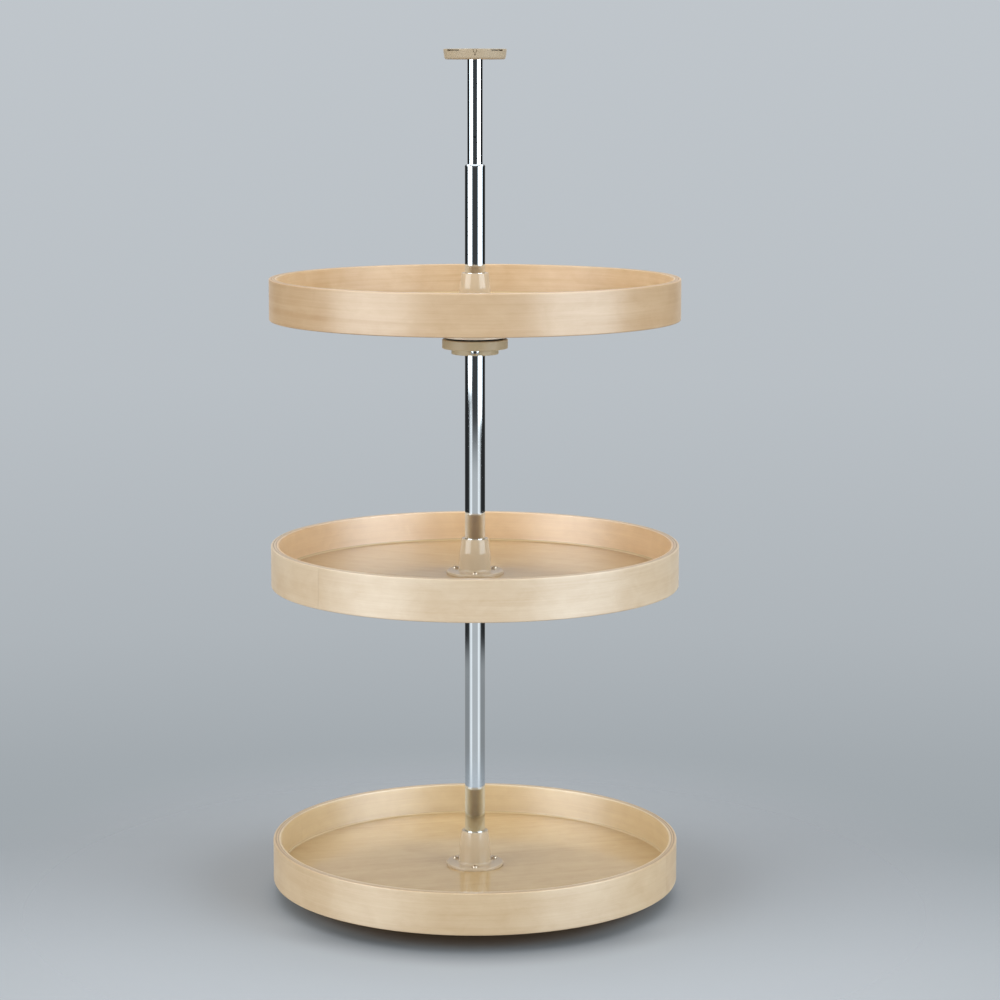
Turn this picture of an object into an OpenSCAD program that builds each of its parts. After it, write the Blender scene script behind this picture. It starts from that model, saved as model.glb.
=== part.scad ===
// Revolving pantry shelves: three round wooden trays on one telescoping pole.
// The origin is the centre of the floor plate's underside. +Z runs up the pole
// and -Y is the front. Each tray turns by itself on a ball thrust bearing.

/* [Shelves] */
// Outside diameter of each round shelf
shelf_d = 508; // [440:1:640]
// Height of the rim
rim_h = 51; // [44:1:64]
// Thickness of one of the three plies of the bent rim
ply_t = 3.2; // [2.4:0.1:4]
// Rounding of the rim's free edges
rim_edge_r = 1.4; // [0.6:0.1:1.8]
// Thickness of the round board that is the shelf's floor
board_t = 12; // [10:1:15]
// Height of the board's underside above the rim's lower edge
board_lift = 1; // [0.5:0.5:3]
// Width of the butt joint where the ends of a ply meet
seam_w = 0.4; // [0.2:0.1:0.8]
// Height of the bottom shelf's rim above the floor
bottom_shelf_z = 22; // [22:0.5:30]
// Height of the middle shelf's rim above the floor
middle_shelf_z = 395.5; // [360:0.5:420]
// Height of the top shelf's rim above the floor
top_shelf_z = 727; // [700:0.5:760]

/* [Pole] */
// Height of the whole unit, from the floor to the top of the ceiling plate
overall_h = 1058; // [1000:1:1180]
// Outside diameter of the lower tube
lower_tube_d = 25.4; // [25:0.1:26]
// Outside diameter of the upper tube
upper_tube_d = 19.05; // [18:0.05:19.5]
// Wall thickness of both tubes
tube_wall = 1.2; // [1:0.1:1.5]
// Height of the lower tube's top end above the floor
lower_tube_end = 914.6; // [880:0.1:930]
// Height of the polished lip on the lower tube's top end
lip_h = 3; // [2:0.5:5]
// Length of the upper tube
upper_tube_len = 430; // [380:5:500]
// Diameter of the small hole in the front of the upper tube
index_hole_d = 2.5; // [2:0.1:4]
// Height of that hole above the floor
index_hole_z = 951; // [935:1:965]

/* [Hubs] */
// Height of a hub above the shelf's floor
hub_h = 44; // [36:1:60]
// Diameter of the hub's flange
flange_d = 72; // [68:1:80]
// Thickness of the hub's flange
flange_t = 3.5; // [2.5:0.5:5]
// Diameter of the hub's column above the fillet at its foot
hub_foot_d = 39.8; // [38:0.2:41]
// Diameter of the hub's column at its shoulder, where the cone begins
hub_shoulder_d = 38.6; // [36:0.2:39.6]
// Height of the shoulder above the shelf's floor
hub_shoulder_h = 26; // [20:1:30]
// Diameter of the cone at the hub's top
hub_top_d = 33.4; // [32:0.2:35]
// Diameter of the circle that the hub's three screws lie on
hub_screw_circle = 56; // [55.5:0.5:57]

/* [Bearings] */
// Diameter of the circle that the balls run on
race_d = 60; // [58:0.5:62]
// Diameter of a ball
ball_d = 6.35; // [5.5:0.05:6.5]
// Number of balls in each bearing
ball_count = 12; // [8:1:16]
// Open gap between the upper and the lower race
race_gap = 2; // [1.6:0.1:2.6]
// Diameter of the upper race under a shelf
upper_race_d = 78.5; // [76:0.5:82]
// Height of the upper race under the middle and top shelves
upper_race_h = 24; // [20:0.5:30]
// Diameter of the support collar's wide disc
collar_d = 81.5; // [78:0.5:90]
// Thickness of the support collar's wide disc
collar_t = 11.5; // [10:0.5:14]
// Diameter of the clamping boss below the disc
boss_d = 58.5; // [54:0.5:60]
// Height of the clamping boss
boss_h = 7; // [6:0.5:10]

/* [End plates] */
// Diameter of the ceiling plate at its top
ceiling_plate_d = 78; // [74:1:90]
// Thickness of the ceiling plate
ceiling_plate_t = 12.8; // [11:0.1:15]
// Diameter of the circle of screw holes in the ceiling plate
ceiling_screw_circle = 56; // [52:1:60]
// Diameter of the floor plate
floor_plate_d = 110; // [104:1:130]
// Thickness of the floor plate's flange
floor_flange_t = 5; // [4:0.5:6]
// Diameter of the circle of screw holes in the floor plate
floor_screw_circle = 94; // [92:0.5:96]
// Diameter of the screw holes in both end plates
plate_hole_d = 5; // [4.5:0.5:5.5]

/* [Hidden] */
$fn = 96;

WOOD = [0.86, 0.74, 0.56];
INNER_WOOD = [0.84, 0.70, 0.50];
PLASTIC = [0.80, 0.72, 0.58];
DISC_PLASTIC = [0.74, 0.68, 0.53];
CHROME = [0.82, 0.84, 0.86];
STEEL = [0.70, 0.71, 0.73];
CAGE_PLASTIC = [0.22, 0.22, 0.23];

eps = 0.01;
run_gap = 0.05;         // radial clearance of a running fit
hub_run_gap = 0.08;     // radial clearance of a hub's guide land on the pole

// Rim: the plies count outwards from 0, the inner one.
INNER = 0;
MIDDLE = 1;
OUTER = 2;
shelf_r = shelf_d / 2;
board_r = shelf_r - 3 * ply_t;
glue_line = 0.4;        // chamfer where two plies meet at the rim's edges
// Angle of each ply's butt joint, for the inner, middle and outer ply.
BOTTOM_SEAMS = [157, 42, 338];
MIDDLE_SEAMS = [285, 118, 223];
TOP_SEAMS = [262, 20, 75];

// Pole
lower_r = lower_tube_d / 2;
lower_bore_r = lower_r - tube_wall;
upper_r = upper_tube_d / 2;
upper_bore_r = upper_r - tube_wall;
socket_floor = 4;       // floor of the floor plate's socket, where the tube stands
bush_depth = 28;        // length of the bush inside the lower tube
foot_h = 20;
foot_spigot_h = 15;
ceiling_socket = 9.5;   // depth of the ceiling plate's socket
upper_tube_top = overall_h - ceiling_plate_t + ceiling_socket;
upper_tube_bottom = upper_tube_top - upper_tube_len;

// Hubs and their screws
board_hole_r = 22;
hub_bore_r = lower_r + 0.9;
guide_land = 8;         // length of the hub's bore that guides it on the pole
hub_screw_r = 2;
hub_screw_head_r = 3.5;
hub_screw_head_h = 2.3;
hub_screw_grip = 8;     // length of thread in the upper race
HUB_SCREW_ANGLES = [270, 30, 150];

// Bearings
race_r = race_d / 2;
ball_r = ball_d / 2;
groove_r = ball_r + 0.325;
cage_t = 1;
cage_lip_h = 1.5;
platform_h = 8.5;       // top of the bottom bearing's lower race
bottom_race_h = bottom_shelf_z + board_lift - race_gap - platform_h;
socket_r = 17;
socket_top = 19;
bottom_race_bore_r = socket_r + 1.2;

// Clamp screw: a radial screw in the collar's boss that grips the lower tube
clamp_drop = 1.5;       // screw axis below the underside of the wide disc
clamp_shank_r = 3;
clamp_seat = boss_d / 2 - 0.3;
clamp_washer_r = 5.8;
clamp_hex_af = 9.5;
clamp_head_h = 5.2;

// Points on an arc about c, n steps from angle a0 to a1.
function arc(c, r, a0, a1, n = 5) = [
    for (i = [0 : n]) c + r * [cos(a0 + (a1 - a0) * i / n), sin(a0 + (a1 - a0) * i / n)]
];

// A disc profile from radius r0 to r1 and height z0 to z1, its outer corners rounded.
function disc_outline(r0, r1, z0, z1, low_r, high_r) = concat(
    [[r0, z0]],
    arc([r1 - low_r, z0 + low_r], low_r, 270, 360),
    arc([r1 - high_r, z1 - high_r], high_r, 0, 90),
    [[r0, z1]]
);

module pipe(r_out, r_in, z0, z1) {
    translate([0, 0, z0])
        difference() {
            cylinder(r = r_out, h = z1 - z0);
            translate([0, 0, -1]) cylinder(r = r_in, h = z1 - z0 + 2);
        }
}

// Copies children round the pole at the given angles, at a distance r.
module around(angles, r) {
    for (a = angles) rotate([0, 0, a]) translate([r, 0, 0]) children();
}

// Half-round groove that the balls run in, cut about height z.
module race_groove(z) {
    translate([0, 0, z]) rotate_extrude() translate([race_r, 0]) circle(r = groove_r);
}

// ---- Pole ----

module floor_plate() {
    color(DISC_PLASTIC)
    difference() {
        rotate_extrude()
            polygon(concat(
                [[0, 0]],
                [[floor_plate_d / 2 - 0.5, 0], [floor_plate_d / 2, 0.5]],
                arc([floor_plate_d / 2 - 2.5, floor_flange_t - 2.5], 2.5, 0, 90),
                [[upper_race_d / 2 + 0.6, floor_flange_t]],
                arc([upper_race_d / 2 - 0.8, platform_h - 0.8], 0.8, 0, 90, 3),
                [[socket_r, platform_h], [socket_r, socket_top - 1.5]],
                arc([socket_r - 1.5, socket_top - 1.5], 1.5, 0, 90, 4),
                [[0, socket_top]]
            ));
        translate([0, 0, socket_floor]) cylinder(r = lower_r + run_gap, h = socket_top);
        race_groove(platform_h + race_gap / 2);
        around([45 : 90 : 315], floor_screw_circle / 2) {
            translate([0, 0, -1]) cylinder(d = plate_hole_d, h = floor_flange_t + 2);
            translate([0, 0, floor_flange_t - 2.2])
                cylinder(r1 = plate_hole_d / 2, r2 = plate_hole_d / 2 + 2.3, h = 2.2 + eps);
        }
    }
}

module lower_tube() {
    color(CHROME) pipe(lower_r, lower_bore_r, socket_floor, lower_tube_end);
}

// Bush pushed into the lower tube. It guides the upper tube and caps the end with a bright
// lip, bevelled all round.
module tube_bush() {
    color(CHROME)
    rotate_extrude()
        polygon(concat(
            [[upper_r + run_gap, lower_tube_end - bush_depth + 1]],
            [[upper_r + run_gap + 1, lower_tube_end - bush_depth]],
            [[lower_bore_r, lower_tube_end - bush_depth], [lower_bore_r, lower_tube_end]],
            [[lower_r + 0.3, lower_tube_end], [lower_r + 0.3, lower_tube_end + 0.4]],
            [[lower_r - 1.1, lower_tube_end + lip_h - 0.3], [lower_r - 1.6, lower_tube_end + lip_h]],
            [[upper_r + run_gap + 0.4, lower_tube_end + lip_h]],
            [[upper_r + run_gap, lower_tube_end + lip_h - 0.4]]
        ));
}

module upper_tube() {
    color(CHROME)
    difference() {
        pipe(upper_r, upper_bore_r, upper_tube_bottom, upper_tube_top);
        translate([0, -upper_bore_r + 2, index_hole_z])
            rotate([90, 0, 0]) cylinder(d = index_hole_d, h = tube_wall + 3);
    }
}

// Plug in the upper tube's lower end. Its collar slides in the lower tube and keeps the pole straight.
module tube_foot() {
    foot_r = lower_bore_r - hub_run_gap;
    base_z = upper_tube_bottom - foot_h;
    color(CAGE_PLASTIC)
    difference() {
        rotate_extrude()
            polygon(concat(
                [[0, base_z], [foot_r - 1, base_z], [foot_r, base_z + 1]],
                arc([foot_r - 0.8, upper_tube_bottom - 0.8], 0.8, 0, 90, 3),
                [[upper_bore_r, upper_tube_bottom]],
                [[upper_bore_r, upper_tube_bottom + foot_spigot_h - 1]],
                [[upper_bore_r - 1, upper_tube_bottom + foot_spigot_h]],
                [[0, upper_tube_bottom + foot_spigot_h]]
            ));
        translate([0, 0, base_z - 1]) cylinder(r = upper_bore_r - 2.5, h = foot_h + foot_spigot_h + 2);
    }
}

// Cutter of a V mark, pointing down from the plate's top edge. Its back is flat and its
// flanks slope outwards. The origin is on the plate's edge and +X points outwards.
module v_mark() {
    half_w = 3.5;
    fall = 11.6;
    depth = 2;
    flare = 0.5;
    reach = 2;
    top = ceiling_plate_t + 1;
    rise = half_w / fall;
    back_w = half_w + rise - flare * depth;
    out_w = half_w + rise + flare * reach;
    polyhedron(
        points = [
            [reach, out_w, top], [reach, -out_w, top], [reach, 0, top - out_w / rise],
            [-depth, back_w, top], [-depth, -back_w, top], [-depth, 0, top - back_w / rise]
        ],
        faces = [[1, 0, 2], [3, 4, 5], [3, 0, 1, 4], [0, 3, 5, 2], [4, 1, 2, 5]]
    );
}

// Plate that meets the cabinet's ceiling: four V marks on its edge, and between them four
// narrow slots in the edge, just under the top face and over the screw holes.
module ceiling_plate() {
    plate_r = ceiling_plate_d / 2;
    plate_z = overall_h - ceiling_plate_t;
    color(PLASTIC)
    translate([0, 0, plate_z])
    difference() {
        rotate_extrude()
            polygon(concat(
                [[0, 0]],
                arc([plate_r - 1.2 - 3, 3], 3, 270, 355),
                arc([plate_r - 0.8, ceiling_plate_t - 0.8], 0.8, 0, 90, 3),
                [[0, ceiling_plate_t]]
            ));
        translate([0, 0, -1]) cylinder(r = upper_r + run_gap, h = ceiling_socket + 1);
        around([0 : 90 : 270], plate_r) v_mark();
        around([45 : 90 : 315], ceiling_screw_circle / 2) {
            translate([0, 0, -1]) cylinder(d = plate_hole_d, h = ceiling_plate_t + 2);
            translate([0, 0, -1]) cylinder(r = 4.8, h = 6);
        }
        around([45 : 90 : 315], plate_r - 6)
            translate([0, -10, ceiling_plate_t - 2.6]) cube([8, 20, 1.6]);
    }
}

// ---- Shelf, with z the height of its rim's lower edge ----

module board(z) {
    color(INNER_WOOD)
    translate([0, 0, z + board_lift])
    difference() {
        cylinder(r = board_r, h = board_t);
        translate([0, 0, -1]) cylinder(r = board_hole_r, h = board_t + 2);
        around(HUB_SCREW_ANGLES, hub_screw_circle / 2)
            translate([0, 0, -1]) cylinder(r = hub_screw_r + 0.3, h = board_t + 2);
    }
}

// One ply of the bent rim: a strip whose ends meet at the seam's angle.
// Free edges are rounded, and edges at a glue line have a small chamfer.
module ply(z, k, seam) {
    r_in = board_r + k * ply_t;
    r_out = r_in + ply_t;
    in_e = k == INNER ? rim_edge_r : glue_line;
    in_n = k == INNER ? 5 : 1;
    out_e = k == OUTER ? rim_edge_r : glue_line;
    out_n = k == OUTER ? 5 : 1;
    color(WOOD)
    translate([0, 0, z])
    difference() {
        rotate_extrude()
            polygon(concat(
                arc([r_in + in_e, in_e], in_e, 180, 270, in_n),
                arc([r_out - out_e, out_e], out_e, 270, 360, out_n),
                arc([r_out - out_e, rim_h - out_e], out_e, 0, 90, out_n),
                arc([r_in + in_e, rim_h - in_e], in_e, 90, 180, in_n)
            ));
        rotate([0, 0, seam])
            translate([r_in - 1, -seam_w / 2, -1]) cube([ply_t + 2, seam_w, rim_h + 2]);
    }
}

// Moulded hub: a thin flange, a fillet, a column that is almost straight up to its shoulder
// and a cone with a rounded top.
module hub(z) {
    floor_z = z + board_lift + board_t;
    foot_r = hub_foot_d / 2;
    top_r = hub_top_d / 2;
    fillet = 3;
    crown = 0.9;
    color(PLASTIC)
    translate([0, 0, floor_z])
    difference() {
        rotate_extrude()
            polygon(concat(
                [[hub_bore_r, 0], [flange_d / 2, 0]],
                arc([flange_d / 2 - 1.6, flange_t - 1.6], 1.6, 0, 90),
                arc([foot_r + fillet, flange_t + fillet], fillet, 270, 180),
                [[hub_shoulder_d / 2, hub_shoulder_h]],
                arc([top_r - crown, hub_h - crown], crown, 0, 90),
                [[lower_r + hub_run_gap + 0.4, hub_h]],
                [[lower_r + hub_run_gap, hub_h - 0.4]],
                [[lower_r + hub_run_gap, hub_h - guide_land], [hub_bore_r, hub_h - guide_land - 1]]
            ));
        around(HUB_SCREW_ANGLES, hub_screw_circle / 2)
            translate([0, 0, -1]) cylinder(r = hub_screw_r + 0.2, h = flange_t + 2);
    }
}

module hub_screws(z) {
    seat_z = z + board_lift + board_t + flange_t;
    shank = flange_t + board_t + hub_screw_grip;
    color(STEEL)
    translate([0, 0, seat_z])
    around(HUB_SCREW_ANGLES, hub_screw_circle / 2)
        difference() {
            rotate_extrude()
                polygon(concat(
                    [[0, -shank], [hub_screw_r, -shank + hub_screw_r], [hub_screw_r, 0]],
                    [[hub_screw_head_r, 0], [hub_screw_head_r, 0.4]],
                    arc([hub_screw_head_r - 2.1, hub_screw_head_h - 2.1], 2.1, 10, 90),
                    [[0, hub_screw_head_h]]
                ));
            for (a = [0, 90])
                rotate([0, 0, a + 20])
                    translate([-2, -0.4, hub_screw_head_h - 1.4]) cube([4, 0.8, 2]);
        }
}

// Upper race: it clamps the board from below, centres in the board's hole and carries
// the groove for the balls. Ribs and screw bosses stand in a moat open to the board.
module upper_race(z, h, bore_r) {
    race_or = upper_race_d / 2;
    web = 9;
    moat_in = board_hole_r + 2;
    moat_out = race_or - 3.2;
    color(DISC_PLASTIC)
    translate([0, 0, z + board_lift - h])
    difference() {
        union() {
            difference() {
                rotate_extrude() polygon(disc_outline(0, race_or, 0, h, 1, 0.5));
                pipe(moat_out, moat_in, web, h + 1);
            }
            around(HUB_SCREW_ANGLES, hub_screw_circle / 2)
                translate([0, 0, web - 1]) cylinder(r = 4.6, h = h - web + 1);
            for (a = [0 : 60 : 300])
                rotate([0, 0, a])
                    translate([moat_in - 1, -1, web - 1])
                        cube([moat_out - moat_in + 2, 2, h - web + 1]);
            translate([0, 0, h - 1]) cylinder(r = board_hole_r - 0.1, h = board_t + 0.8);
        }
        translate([0, 0, -1]) cylinder(r = bore_r, h = h + board_t + 2);
        race_groove(-race_gap / 2);
        around(HUB_SCREW_ANGLES, hub_screw_circle / 2)
            translate([0, 0, h - hub_screw_grip - 0.3])
                cylinder(r = hub_screw_r + 0.05, h = hub_screw_grip + 1);
    }
}

// ---- Ball bearing, with z the height of the balls' centres ----

module ball_cage(z) {
    cage_in = race_r - 5;
    cage_out = race_r + 5;
    color(CAGE_PLASTIC)
    translate([0, 0, z])
    difference() {
        union() {
            pipe(cage_out, cage_in, -cage_t / 2, cage_t / 2);
            pipe(cage_in + 1, cage_in, -cage_lip_h / 2, cage_lip_h / 2);
            pipe(cage_out, cage_out - 1, -cage_lip_h / 2, cage_lip_h / 2);
        }
        around([0 : 360 / ball_count : 359], race_r)
            translate([0, 0, -2]) cylinder(r = ball_r + run_gap, h = 4, $fn = 48);
    }
}

module balls(z) {
    color(STEEL)
    translate([0, 0, z])
    around([0 : 360 / ball_count : 359], race_r) sphere(r = ball_r, $fn = 32);
}

// ---- Support of the middle and top shelves ----

// Collar that slides on the lower tube: the lower race on its top, the clamping boss
// below, and a pocket that the clamp screw's head turns in.
module support_collar(z) {
    disc_top = z + board_lift - upper_race_h - race_gap;
    disc_bottom = disc_top - collar_t;
    color(DISC_PLASTIC)
    translate([0, 0, disc_bottom])
    difference() {
        union() {
            rotate_extrude() polygon(disc_outline(0, collar_d / 2, 0, collar_t, 1.2, 1.2));
            rotate_extrude() polygon(disc_outline(0, boss_d / 2, -boss_h, 1, 0.8, 0.1));
        }
        translate([0, 0, -boss_h - 1])
            cylinder(r = lower_r + run_gap, h = boss_h + collar_t + 2);
        race_groove(collar_t + race_gap / 2);
        translate([0, 0, -clamp_drop]) rotate([90, 0, 0]) {
            cylinder(r = clamp_shank_r + run_gap, h = collar_d / 2 - 6);
            translate([0, 0, clamp_seat]) cylinder(r = clamp_washer_r + 0.6, h = clamp_head_h + 1.8);
        }
    }
}

module clamp_screw(z) {
    axis_z = z + board_lift - upper_race_h - race_gap - collar_t - clamp_drop;
    tip = lower_r + run_gap;
    hex_r = clamp_hex_af / 2 / cos(30);
    color(CHROME)
    translate([0, 0, axis_z])
    rotate([90, 0, 0])
    difference() {
        union() {
            translate([0, 0, tip]) cylinder(r1 = clamp_shank_r - 0.8, r2 = clamp_shank_r, h = 0.8);
            translate([0, 0, tip + 0.8]) cylinder(r = clamp_shank_r, h = clamp_seat - tip);
            translate([0, 0, clamp_seat])
                rotate_extrude()
                    polygon(concat(
                        [[0, 0]],
                        arc([clamp_washer_r - 0.8, 0.8], 0.8, 270, 450),
                        [[4.8, 1.1], [0, 1.1]]
                    ));
            intersection() {
                translate([0, 0, clamp_seat + 1]) cylinder(r = hex_r, h = clamp_head_h - 1, $fn = 6);
                translate([0, 0, clamp_seat]) cylinder(r1 = hex_r + 2.6, r2 = hex_r - 0.5, h = clamp_head_h);
            }
        }
        translate([0, 0, clamp_seat + clamp_head_h - 0.9]) cylinder(r1 = 2.4, r2 = 3.3, h = 0.9 + eps);
    }
}

// Height of the balls' centres in each bearing
bottom_ball_z = platform_h + race_gap / 2;
middle_ball_z = middle_shelf_z + board_lift - upper_race_h - race_gap / 2;
top_ball_z = top_shelf_z + board_lift - upper_race_h - race_gap / 2;

floor_plate();
lower_tube();
tube_bush();
upper_tube();
tube_foot();
ceiling_plate();

board(bottom_shelf_z);  // bottom_board
ply(bottom_shelf_z, INNER, BOTTOM_SEAMS[INNER]);  // bottom_inner_ply
ply(bottom_shelf_z, MIDDLE, BOTTOM_SEAMS[MIDDLE]);  // bottom_middle_ply
ply(bottom_shelf_z, OUTER, BOTTOM_SEAMS[OUTER]);  // bottom_outer_ply
hub(bottom_shelf_z);  // bottom_hub
hub_screws(bottom_shelf_z);  // bottom_hub_screws
upper_race(bottom_shelf_z, bottom_race_h, bottom_race_bore_r);  // bottom_upper_race
ball_cage(bottom_ball_z);  // bottom_ball_cage
balls(bottom_ball_z);  // bottom_balls

board(middle_shelf_z);  // middle_board
ply(middle_shelf_z, INNER, MIDDLE_SEAMS[INNER]);  // middle_inner_ply
ply(middle_shelf_z, MIDDLE, MIDDLE_SEAMS[MIDDLE]);  // middle_middle_ply
ply(middle_shelf_z, OUTER, MIDDLE_SEAMS[OUTER]);  // middle_outer_ply
hub(middle_shelf_z);  // middle_hub
hub_screws(middle_shelf_z);  // middle_hub_screws
upper_race(middle_shelf_z, upper_race_h, hub_bore_r);  // middle_upper_race
ball_cage(middle_ball_z);  // middle_ball_cage
balls(middle_ball_z);  // middle_balls
support_collar(middle_shelf_z);  // middle_support_collar
clamp_screw(middle_shelf_z);  // middle_clamp_screw

board(top_shelf_z);  // top_board
ply(top_shelf_z, INNER, TOP_SEAMS[INNER]);  // top_inner_ply
ply(top_shelf_z, MIDDLE, TOP_SEAMS[MIDDLE]);  // top_middle_ply
ply(top_shelf_z, OUTER, TOP_SEAMS[OUTER]);  // top_outer_ply
hub(top_shelf_z);  // top_hub
hub_screws(top_shelf_z);  // top_hub_screws
upper_race(top_shelf_z, upper_race_h, hub_bore_r);  // top_upper_race
ball_cage(top_ball_z);  // top_ball_cage
balls(top_ball_z);  // top_balls
support_collar(top_shelf_z);  // top_support_collar
clamp_screw(top_shelf_z);  // top_clamp_screw
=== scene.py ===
"""Revolving pantry shelves, finished for a studio picture.

Three round birch trays turn on a telescoping chrome pole. Every new piece is a surface
worked out with numpy in metres, in the frame of the packed model, and rides on its body.
The pieces whose packed shape is right keep it and get a finish of their own.

The order of the file: sizes and colours, surfaces, finishes, then one operator for the
studio and one for each group of pieces.
"""
from math import pi, radians

import bpy
import numpy as np
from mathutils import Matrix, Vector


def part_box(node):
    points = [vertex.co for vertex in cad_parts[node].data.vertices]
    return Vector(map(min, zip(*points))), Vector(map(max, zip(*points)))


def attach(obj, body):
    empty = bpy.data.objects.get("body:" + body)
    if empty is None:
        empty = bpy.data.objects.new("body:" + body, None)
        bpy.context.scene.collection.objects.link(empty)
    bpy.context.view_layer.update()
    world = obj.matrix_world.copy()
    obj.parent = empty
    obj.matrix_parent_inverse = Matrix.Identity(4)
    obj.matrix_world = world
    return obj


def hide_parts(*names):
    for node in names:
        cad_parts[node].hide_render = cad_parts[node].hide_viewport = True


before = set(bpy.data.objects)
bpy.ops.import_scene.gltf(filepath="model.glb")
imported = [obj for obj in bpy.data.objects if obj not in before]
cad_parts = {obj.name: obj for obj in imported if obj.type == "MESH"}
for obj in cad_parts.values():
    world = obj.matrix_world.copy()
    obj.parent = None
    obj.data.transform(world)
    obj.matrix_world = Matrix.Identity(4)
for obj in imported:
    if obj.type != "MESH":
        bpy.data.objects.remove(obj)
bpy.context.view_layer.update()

bl_info = {
    "name": "Revolving pantry shelves",
    "version": (1, 0, 0),
    "blender": (4, 5, 0),
    "location": "3D View > Sidebar > Shelves",
    "description": "Round birch trays on a telescoping chrome pole, with their studio",
    "category": "Object",
}

TRAYS = ("bottom", "middle", "top")
PLIES = ("inner", "middle", "outer")
MM = 0.001
CREASE = radians(32.0)      # sharper edges stay sharp under smooth shading


# ---------------------------------------------------------------- sizes and colours

def length(name, description, mm, most=1.0):
    """A size that a user may change, given in millimetres and kept in metres."""
    return bpy.props.FloatProperty(name=name, description=description, default=mm * MM,
                                   min=0.0, max=most, precision=5, subtype="DISTANCE",
                                   unit="LENGTH")


def colour(name, description, rgb):
    """A linear colour that a user may change."""
    return bpy.props.FloatVectorProperty(name=name, description=description, default=rgb,
                                         size=3, min=0.0, max=1.0, subtype="COLOR")


def brightness(name, description, value):
    """The strength of a light, which a user may change."""
    return bpy.props.FloatProperty(name=name, description=description, default=value,
                                   min=0.0, max=20.0)


def joints(name, degrees):
    """The angles of a tray's three butt joints, from the inner ply to the outer one."""
    return bpy.props.FloatVectorProperty(name=name, size=3, subtype="EULER", unit="ROTATION",
                                         description="Where the ends of each ply meet",
                                         default=tuple(radians(d) for d in degrees))


class PANTRY_PG_trays(bpy.types.PropertyGroup):
    """Sizes of the bent rims and the round floors."""
    radius: length("Tray radius", "Outside radius of a tray", 254.0)
    rim_height: length("Rim height", "Height of the bent rim", 51.0)
    ply: length("Ply", "Thickness of one of the rim's three plies", 3.2)
    edge: length("Edge rounding", "Rounding of the rim's free edges", 1.4)
    glue_line: length("Glue line", "Chamfer where two plies meet", 0.4)
    joint_gap: length("Joint gap", "Gap between the ends of a ply", 0.22)
    floor: length("Floor thickness", "Thickness of the plywood floor", 12.0)
    lift: length("Floor lift", "Height of the floor's underside in the rim", 1.0)
    bead: length("Glue bead", "Radius of the glue fillet between the floor and the rim", 2.2)
    floor_hole: length("Floor hole", "Radius of the hole that the hub stands over", 22.0)
    bottom_joints: joints("Bottom joints", (157, 42, 338))
    middle_joints: joints("Middle joints", (285, 118, 223))
    top_joints: joints("Top joints", (262, 20, 75))


class PANTRY_PG_pole(bpy.types.PropertyGroup):
    """Sizes of the pole and the hubs that turn on it."""
    tube_radius: length("Lower tube", "Outside radius of the lower tube", 12.7)
    slim_radius: length("Upper tube", "Outside radius of the upper tube", 9.525)
    wall: length("Tube wall", "Wall thickness of the tubes", 1.2)
    lip: length("Lip", "Height of the bright lip on the lower tube's end", 3.0)
    index_hole: length("Index hole", "Radius of the small hole in the upper tube", 1.25)
    index_height: length("Index height", "Height of that hole above the floor", 951.0, 2.0)
    lip_over: length("Lip overhang", "How far the lip stands out over the tube", 0.3)
    flange_radius: length("Flange", "Radius of a hub's flange", 36.0)
    flange: length("Flange thickness", "Thickness of a hub's flange", 3.5)
    hub_height: length("Hub height", "Height of a hub above the floor", 44.0)
    hub_foot: length("Hub foot", "Radius of the hub above its fillet", 19.9)
    hub_shoulder: length("Hub shoulder", "Radius of the hub where its cone begins", 19.3)
    shoulder_height: length("Shoulder height", "Height of the shoulder", 26.0)
    hub_top: length("Hub top", "Radius of the cone's upper end", 16.7)
    crown: length("Crown", "Rounding of the hub's upper edge", 0.9)
    button: length("Clamp head", "Radius of the clamp screw's button head", 5.6)
    socket: length("Clamp socket", "Width across the flats of the clamp screw's socket", 4.0)


class PANTRY_PG_finish(bpy.types.PropertyGroup):
    """Colours of the wood, the mouldings and the metal."""
    bottom_outer: colour("Bottom rim, outside", "Outer ply of the bottom tray",
                         (0.512, 0.366, 0.216))
    bottom_inner: colour("Bottom rim, inside", "Inner ply of the bottom tray",
                         (0.605, 0.427, 0.213))
    bottom_floor: colour("Bottom floor", "Floor of the bottom tray", (0.52, 0.350, 0.158))
    middle_outer: colour("Middle rim, outside", "Outer ply of the middle tray",
                         (0.585, 0.45, 0.308))
    middle_inner: colour("Middle rim, inside", "Inner ply of the middle tray",
                         (0.715, 0.462, 0.232))
    middle_floor: colour("Middle floor", "Floor of the middle tray", (0.465, 0.303, 0.136))
    top_outer: colour("Top rim, outside", "Outer ply of the top tray",
                      (0.505, 0.338, 0.193))
    top_inner: colour("Top rim, inside", "Inner ply of the top tray",
                      (0.553, 0.392, 0.235))
    top_floor: colour("Top floor", "Floor of the top tray", (0.64, 0.44, 0.24))
    glue: colour("Glue line", "Dark lines between the plies", (0.25, 0.16, 0.085))
    # The bead's pale colour is partly glue and partly a painted highlight along the joint.
    bead: colour("Glue bead", "Pale fillet round the floor", (0.57, 0.41, 0.22))
    fleck: colour("Fleck", "Dark mineral flecks in the birch", (0.13, 0.075, 0.04))
    hub: colour("Hub plastic", "Glossy beige of the hubs", (0.508, 0.392, 0.266))
    plate: colour("Plate plastic", "Paler beige of the ceiling plate", (0.41, 0.325, 0.224))
    # The races' pale cream is partly their plastic's colour and partly a painted highlight on
    # their lit edge.
    race: colour("Race plastic", "Cream of the upper races", (0.90, 0.78, 0.62))
    disc: colour("Disc plastic", "Khaki of the bearing discs", (0.56, 0.455, 0.292))
    # The chrome's brightness is its own, and its blue cast is a painted tint for the cool light it
    # reflects.
    chrome: colour("Chrome", "Tint of the chrome plate", (0.79, 0.87, 0.925))
    zinc: colour("Zinc", "Tint of the bearing balls", (0.62, 0.63, 0.65))
    brass: colour("Brass", "Warm plating of the hub screws", (0.66, 0.57, 0.45))
    black: colour("Black plastic", "Ball cages and the pole's foot", (0.008, 0.008, 0.009))


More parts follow.
